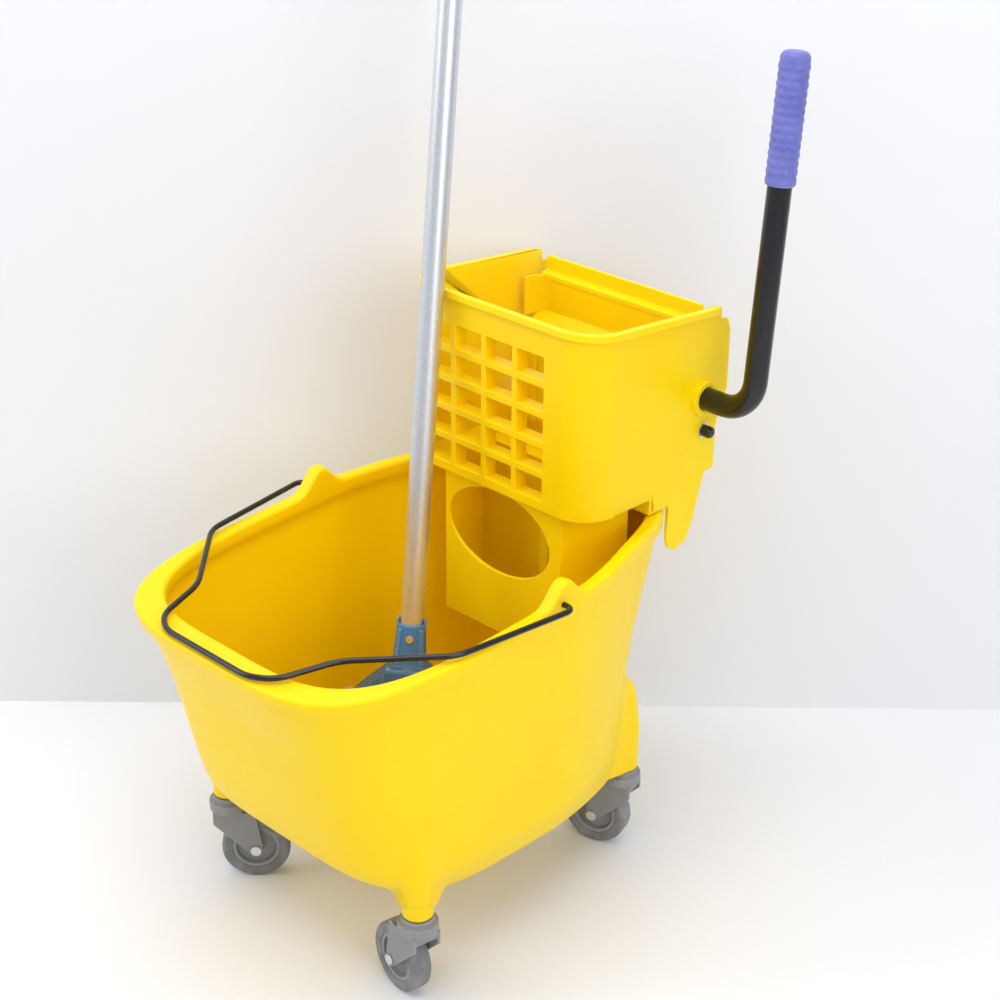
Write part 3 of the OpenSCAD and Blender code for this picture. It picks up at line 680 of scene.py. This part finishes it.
def plate_plan(half, front_y, back_y, radius, thickness):
    """Plan of the scoop: two wings that turn into a back panel through round corners."""
    outer = [(-half, front_y)] + arc_points((-half + radius, back_y - radius), radius, 180, 90, 10)
    outer += arc_points((half - radius, back_y - radius), radius, 90, 0, 10) + [(half, front_y)]
    inner_r = radius - thickness
    inner = [(half - thickness, front_y)]
    inner += arc_points((half - radius, back_y - radius), inner_r, 0, 90, 10)
    inner += arc_points((-half + radius, back_y - radius), inner_r, 90, 180, 10)
    inner += [(-half + thickness, front_y)]
    return outer + inner


def build_plate():
    """The press plate: ribbed face, sloping shoulder, round-cornered scoop and stepped top band."""
    face = [(0.222, 0.439), (0.226, 0.439), (0.226, 0.542), (0.2535, 0.560), (0.2535, 0.566), (0.250, 0.566),
            (0.250, 0.562), (0.222, 0.544)]
    bm = bmesh.new()
    extrude(bm, face, 2 * PLATE_HALF, section_at(-PLATE_HALF))
    soften(bm, 0.0008, 2)
    flatten_faces(stand_in_for(bm, "press_plate"))
    scoop = bmesh.new()
    plan = plate_plan(PLATE_TOP_HALF, 0.228, 0.254, SCOOP_CORNER_R, PLATE_T)
    extrude(scoop, plan, SCOOP_HEIGHT, Matrix.Translation((0.0, 0.0, SCOOP_FOOT_Z)))
    moulded_piece(scoop, "press_plate_scoop", YELLOW, "plate", 0.0008)
    band = bmesh.new()
    step = [(0.2494, 0.598), (0.254, 0.598), (0.262, 0.6035), (0.262, 0.622), (0.2582, 0.622),
            (0.2582, 0.6060), (0.2494, 0.6045)]
    half = PLATE_TOP_HALF - 0.006
    extrude(band, step, 2 * half, section_at(-half))
    moulded_piece(band, "press_plate_band", YELLOW, "plate", 0.001)
    ribs = bmesh.new()
    for k in range(-3, 4):
        middle = PLATE_RIB_PITCH * k
        box(ribs, (middle - 0.003, 0.217, 0.441), (middle + 0.003, 0.223, 0.541))
    moulded_piece(ribs, "press_plate_ribs", YELLOW, "plate", 0.0012, 3)


# ---------------------------------------------------------------- casters

def caster_frame(name):
    """Frame on the wheel's axle: Z along the axle."""
    low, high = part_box(f"caster_{name}_hub")
    joint = next(j for j in frame["joints"] if j["name"] == f"caster_{name}_roll")
    axle = Vector(joint["axis"]).normalized()
    middle = (Vector(low) + Vector(high)) / 2
    up = Vector((0.0, 0.0, 1.0))
    side = up.cross(axle).normalized()
    turned = Matrix((side, axle.cross(side), axle)).transposed().to_4x4()
    return Matrix.Translation(middle) @ turned


def build_tyre(name):
    """A tyre with rounded shoulders and slightly hollow sides."""
    profile = [(0.0260, -0.0095), (0.0262, -0.0100), (0.0295, -0.0107)]
    profile += [(0.0335 + dx, -0.0070 + dz) for dz, dx in arc_points((0.0, 0.0), 0.0040, 180, 90, 8)]
    profile += [(0.0375, -0.0030), (0.0375, 0.0030)]
    profile += [(0.0335 + dx, 0.0070 + dz) for dz, dx in arc_points((0.0, 0.0), 0.0040, 90, 0, 8)]
    profile += [(0.0295, 0.0107), (0.0262, 0.0100), (0.0260, 0.0095)]
    bm = bmesh.new()
    revolve(bm, profile, caster_frame(name), 128, closed=True)
    stand_in_for(bm, f"caster_{name}_tyre", 40.0)


def build_caster(name):
    """One caster's tyre, fork, hub and axle."""
    build_tyre(name)
    rounded_node(f"caster_{name}_fork", 0.0014, 3)
    rounded_node(f"caster_{name}_hub", 0.0006)
    rounded_node(f"caster_{name}_axle", 0.0007)


# ---------------------------------------------------------------- mop

MOP_FRAME = (Matrix.Translation((-0.029, -0.036, 0.202))
             @ Matrix.Rotation(math.radians(-5.9), 4, "Y") @ Matrix.Rotation(math.radians(-10.9), 4, "X")
             @ Matrix.Rotation(math.radians(42.0), 4, "Z"))
POLE_R = 0.0125
POLE_FOOT = 0.048
POLE_TOP = 1.228


def build_pole():
    """The pole as an open tube with broken edges."""
    profile = [(POLE_R - 0.0012, POLE_FOOT), (POLE_R - 0.0003, POLE_FOOT), (POLE_R, POLE_FOOT + 0.0003)]
    profile += [(POLE_R, blend(POLE_FOOT + 0.001, POLE_TOP - 0.001, k / 24)) for k in range(25)]
    profile += [(POLE_R - 0.0003, POLE_TOP), (POLE_R - 0.0012, POLE_TOP)]
    bm = bmesh.new()
    revolve(bm, profile, MOP_FRAME, 64)
    stand_in_for(bm, "mop_pole", 60.0)


def build_socket():
    """Tapered socket with four ribs, two prongs at its mouth and a stepped foot on the clamp."""
    profile = [(POLE_R + 0.0002, 0.060), (POLE_R + 0.0002, 0.0935), (0.0138, 0.0940), (0.0152, 0.0936)]
    profile += [(0.0156, 0.0920), (0.0157, 0.0880), (0.0160, 0.0860), (0.0182, 0.0560), (0.0188, 0.0500)]
    profile += [(0.0188, 0.0440), (0.0150, 0.0440)]
    bm = bmesh.new()
    revolve(bm, profile, MOP_FRAME, 72)
    stand_in_for(bm, "mop_socket", 45.0)
    bm = bmesh.new()
    for k in range(4):
        turned = MOP_FRAME @ Matrix.Rotation(math.radians(45 + 90 * k), 4, "Z")
        rib = [(0.0172, 0.050), (0.0204, 0.050), (0.0172, 0.088), (0.0150, 0.090)]
        upright = Matrix(((1, 0, 0, 0), (0, 0, -1, 0.003), (0, 1, 0, 0), (0, 0, 0, 1)))
        extrude(bm, rib, 0.006, turned @ upright)
    for side in (-1, 1):
        box(bm, (side * 0.0143 - 0.0013, -0.005, 0.088), (side * 0.0143 + 0.0013, 0.005, 0.099), MOP_FRAME)
    moulded_piece(bm, "mop_socket_ribs", SOCKET, "mop", 0.0008, sharp=45.0)
    bm = bmesh.new()
    box(bm, (-0.024, -0.019, 0.030), (0.024, 0.019, 0.046), MOP_FRAME)
    moulded_piece(bm, "mop_socket_foot", SOCKET, "mop", 0.003, 3, 45.0)


# height, half length and outer face of a clamp jaw in the mop's frame
JAW_ROWS = ((-0.014, 0.065, 0.030), (-0.001, 0.065, 0.030), (0.008, 0.063, 0.027), (0.026, 0.046, 0.0215),
            (0.044, 0.026, 0.0185), (0.050, 0.020, 0.0170))
JAW_RIB_PLACES = (-0.050, -0.038, -0.026, 0.026, 0.038, 0.050)


def jaw_section(z):
    """Half length and outer face of a jaw at a height."""
    rows = JAW_ROWS
    k = max(j for j in range(len(rows) - 1) if rows[j][0] <= z)
    share = (z - rows[k][0]) / (rows[k + 1][0] - rows[k][0])
    return blend(rows[k][1], rows[k + 1][1], share), blend(rows[k][2], rows[k + 1][2], share)


def build_jaw(node, side):
    """A roof-shaped jaw with short ribs down its outer face."""
    bm = bmesh.new()
    rows = []
    for z, half, out in JAW_ROWS:
        plan = [(-half, 0.001), (half, 0.001), (half - 0.004, out), (-half + 0.004, out)]
        rows.append([bm.verts.new(MOP_FRAME @ Vector((side * x, side * y, z))) for x, y in plan])
    closed_stack(bm, rows)
    bmesh.ops.recalc_face_normals(bm, faces=bm.faces)
    soften(bm, 0.002, 3, sharp=20.0)
    stand_in_for(bm, node, 40.0)
    ribs = bmesh.new()
    for x in JAW_RIB_PLACES:
        top = 0.005 + 0.9 * (0.063 - abs(x))
        steps = [blend(0.002, top, k / 6) for k in range(7)]
        rows = []
        for z in steps:
            out = jaw_section(z)[1]
            plan = [(x - 0.001, out - 0.002), (x + 0.001, out - 0.002), (x + 0.001, out + 0.0014),
                    (x - 0.001, out + 0.0014)]
            rows.append([ribs.verts.new(MOP_FRAME @ Vector((side * a, side * b, z))) for a, b in plan])
        closed_stack(ribs, rows)
    finish_mesh(ribs, f"{node}_ribs", CLAMP, "mop", sharp=40.0)


YARN_SEED = 11
YARN_STRANDS = 150
YARN_R = 0.0034


def build_yarn():
    """Cotton strands that leave the headband on both sides, fall over each other and lie in the bucket."""
    rng = random.Random(YARN_SEED)
    centre = Vector((-0.028, -0.048, 0.0))
    bm = bmesh.new()
    for index in range(YARN_STRANDS):
        side = -1 if index % 2 else 1
        along = blend(-0.056, 0.056, (index // 2 + rng.random()) / (YARN_STRANDS / 2))
        start = MOP_FRAME @ Vector((along, side * 0.012, 0.002))
        leave = MOP_FRAME @ Vector((along * 1.1, side * (0.030 + 0.006 * rng.random()), -0.006))
        angle = math.atan2(leave.y - centre.y, leave.x - centre.x) + rng.uniform(-0.5, 0.5)
        reach = rng.uniform(0.070, 0.101)
        shoulder = centre + Vector((math.cos(angle) * reach * 0.80, math.sin(angle) * reach * 0.80, 0.0))
        shoulder.z = min(leave.z + 0.008, rng.uniform(0.186, 0.206))
        drop = centre + Vector((math.cos(angle) * reach, math.sin(angle) * reach, rng.uniform(0.128, 0.150)))
        turn = angle + rng.choice((-1, 1)) * rng.uniform(0.4, 0.9)
        low_reach = reach * rng.uniform(0.75, 0.9)
        foot = centre + Vector((math.cos(turn) * low_reach, math.sin(turn) * low_reach, 0.1165))
        end = centre + Vector((math.cos(turn) * 0.03, math.sin(turn) * 0.03, 0.118))
        keys = [start, leave, shoulder, drop, foot, end]
        tube(bm, spline(keys, 7), YARN_R, 8)
    stand_in_for(bm, "mop_yarn", 80.0)


# ---------------------------------------------------------------- stage

STAGE_HALF = 4
STAGE_DEPTH = 5
STAGE_HEIGHT = 4


def add_stage():
    """A pale floor that ends at a pale backdrop behind the object."""
    pale = Shader("stage_paper", 0.75)
    pale.colour(pale.mix(pale.noise(3.0, 2.0), (0.80, 0.805, 0.83), (0.83, 0.835, 0.86)))
    forward = Vector((-math.sin(CAMERA_TURN), math.cos(CAMERA_TURN), 0.0))
    along = Vector((math.cos(CAMERA_TURN), math.sin(CAMERA_TURN), 0.0))
    seam = Vector((-0.190, 0.271, 0.0))
    left, right = seam - along * STAGE_HALF, seam + along * STAGE_HALF
    near, up = forward * STAGE_DEPTH, Vector((0, 0, STAGE_HEIGHT))
    corners = {
        "floor": [left - near, right - near, right, left],
        "backdrop": [left, right, right + up, left + up]}
    for name, points in corners.items():
        mesh = bpy.data.meshes.new(name)
        mesh.from_pydata([tuple(p) for p in points], [], [(0, 1, 2, 3)])
        mesh.materials.append(pale.material)
        sheet = bpy.data.objects.new(name, mesh)
        bpy.context.scene.collection.objects.link(sheet)


def add_light(name, at, target, size, power):
    """A round area light that faces its target."""
    data = bpy.data.lights.new(name, "AREA")
    data.shape = "DISK"
    data.size = size
    data.energy = power
    light = bpy.data.objects.new(name, data)
    light.location = at
    light.rotation_euler = (Vector(target) - Vector(at)).to_track_quat("-Z", "Y").to_euler()
    bpy.context.scene.collection.objects.link(light)


def add_lights():
    """Three soft lights and an even, slightly cool surround."""
    middle = (0.0, 0.0, 0.4)
    add_light("overhead", (0.3, -0.4, 2.6), middle, 2.2, 30.0)
    add_light("key_left", (-1.6, -2.0, 1.9), middle, 1.6, 23.0)
    add_light("fill_right", (2.2, -0.6, 1.5), middle, 1.6, 19.0)
    world = bpy.data.worlds.new("studio")
    world.use_nodes = True
    background = world.node_tree.nodes["Background"]
    background.inputs["Color"].default_value = (0.90, 0.94, 1.0, 1.0)
    background.inputs["Strength"].default_value = 0.62
    bpy.context.scene.world = world


# ---------------------------------------------------------------- assembly

def finish_cad_nodes():
    """Gives every CAD node its slot's finish, whether or not a piece takes its place."""
    for node, piece in NODES.items():
        piece.data.materials.clear()
        piece.data.materials.append(FINISH[SLOT_OF[node]])


# CAD nodes shown in their own shape, with the width of their rounded edges
ROUNDED_NODES = (
    ("rack_left", 0.0005), ("rack_right", 0.0005), ("gear_left", 0.0005), ("gear_right", 0.0005),
    ("shaft_end_cap", 0.0015), ("bearing_block_left", 0.001), ("bearing_block_right", 0.001),
    ("block_bolts", 0.0006), ("block_washers", 0.0003), ("block_cap_nuts", 0.001),
    ("clamp_wing_nut", 0.0006), ("clamp_screw", 0.0004), ("mop_pole_cap", 0.0015),
    ("mop_headband", 0.004), ("socket_screw", 0.0005))


def main():
    """Builds the camera, every piece, the stage and the lights."""
    bpy.context.scene.view_settings.view_transform = "Standard"
    add_camera()
    finish_cad_nodes()
    build_bucket()
    build_legs()
    build_bail()
    build_lever()
    build_grip()
    for name in CASTERS:
        build_caster(name)
    build_wringer()
    build_plate()
    for node, width in ROUNDED_NODES:
        rounded_node(node, width)
    build_pole()
    build_socket()
    build_jaw("mop_clamp_front", -1)
    build_jaw("mop_clamp_rear", 1)
    build_yarn()
    add_stage()
    add_lights()


main()
